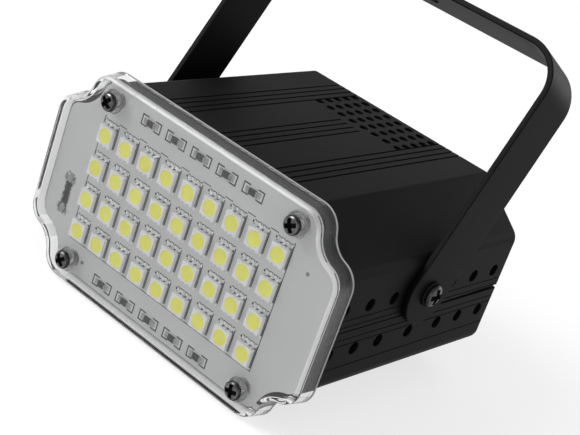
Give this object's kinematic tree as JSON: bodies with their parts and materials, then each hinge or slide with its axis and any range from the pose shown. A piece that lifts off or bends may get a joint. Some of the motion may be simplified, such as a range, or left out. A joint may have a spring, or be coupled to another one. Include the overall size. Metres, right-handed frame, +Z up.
{
  "type": "strobe light",
  "caption": "Small LED strobe light: black two-part housing with vents, clear front cover over a board of LEDs, tilting U-shaped bracket and a rear speed knob.",
  "frame": {"origin": "middle of the footprint's bounding box, on the plane that the lamp stands on", "axes": "+Z up, -Y the way the lamp shines, +X to the right as seen from the front"},
  "size_m": [0.1016, 0.0959, 0.0991],
  "materials": {
    "housing_plastic": "satin black moulded plastic",
    "clear_plastic": "clear polished plastic",
    "board_white": "pale solder mask",
    "led_package": "white package with a yellow window and silver leads",
    "black_steel": "black plated steel",
    "bracket_paint": "satin black paint on sheet steel",
    "bright_steel": "bright zinc or nickel plating",
    "washer_rubber": "black",
    "gland_rubber": "black, matt",
    "driver_green": "green solder mask",
    "capacitor_sleeve": "dark blue sleeve on an aluminium can",
    "lead_insulation": "white insulation",
    "control_metal": "plain steel",
    "knob_plastic": "black moulded plastic"
  },
  "bodies": {
    "housing": {"upper_shell": "housing_plastic", "lower_shell": "housing_plastic", "shell_screw": "black_steel", "front_cover": "clear_plastic", "led_board": "board_white", "cover_screw_upper_left": "black_steel", "cover_screw_upper_right": "black_steel", "cover_screw_lower_left": "black_steel", "cover_screw_lower_right": "black_steel", "pivot_screw_left": "bright_steel", "pivot_washer_left": "washer_rubber", "pivot_nut_left": "bright_steel", "pivot_screw_right": "bright_steel", "pivot_washer_right": "washer_rubber", "pivot_nut_right": "bright_steel", "driver_board": "driver_green", "filter_capacitor": "capacitor_sleeve", "led_lead": "lead_insulation", "cord_gland": "gland_rubber", "potentiometer": "control_metal", "potentiometer_nut": "bright_steel", "led_1_1": "led_package", "led_1_2": "led_package", "led_1_3": "led_package", "led_1_4": "led_package", "led_1_5": "led_package", "led_1_6": "led_package", "led_1_7": "led_package", "led_1_8": "led_package", "led_1_9": "led_package", "led_2_1": "led_package", "led_2_2": "led_package", "led_2_3": "led_package", "led_2_4": "led_package", "led_2_5": "led_package", "led_2_6": "led_package", "led_2_7": "led_package", "led_2_8": "led_package", "led_2_9": "led_package", "led_3_1": "led_package", "led_3_2": "led_package", "led_3_3": "led_package", "led_3_4": "led_package", "led_3_5": "led_package", "led_3_6": "led_package", "led_3_7": "led_package", "led_3_8": "led_package", "led_3_9": "led_package", "led_4_1": "led_package", "led_4_2": "led_package", "led_4_3": "led_package", "led_4_4": "led_package", "led_4_5": "led_package", "led_4_6": "led_package", "led_4_7": "led_package", "led_4_8": "led_package", "led_4_9": "led_package"},
    "bracket": {"bracket": "bracket_paint"},
    "knob": {"potentiometer_shaft": "control_metal", "speed_knob": "knob_plastic"}
  },
  "joints": [
    {"name": "bracket_tilt", "type": "hinge", "parent": "housing", "child": "bracket", "pos_m": [0, -0.00325, 0.03555], "axis": [1, 0, 0], "range_deg": [-190, 84]},
    {"name": "speed_knob_turn", "type": "hinge", "parent": "housing", "child": "knob", "pos_m": [-0.017, 0.0363, 0.0406], "axis": [0, 1, 0], "range_deg": [-150, 150]}
  ]
}
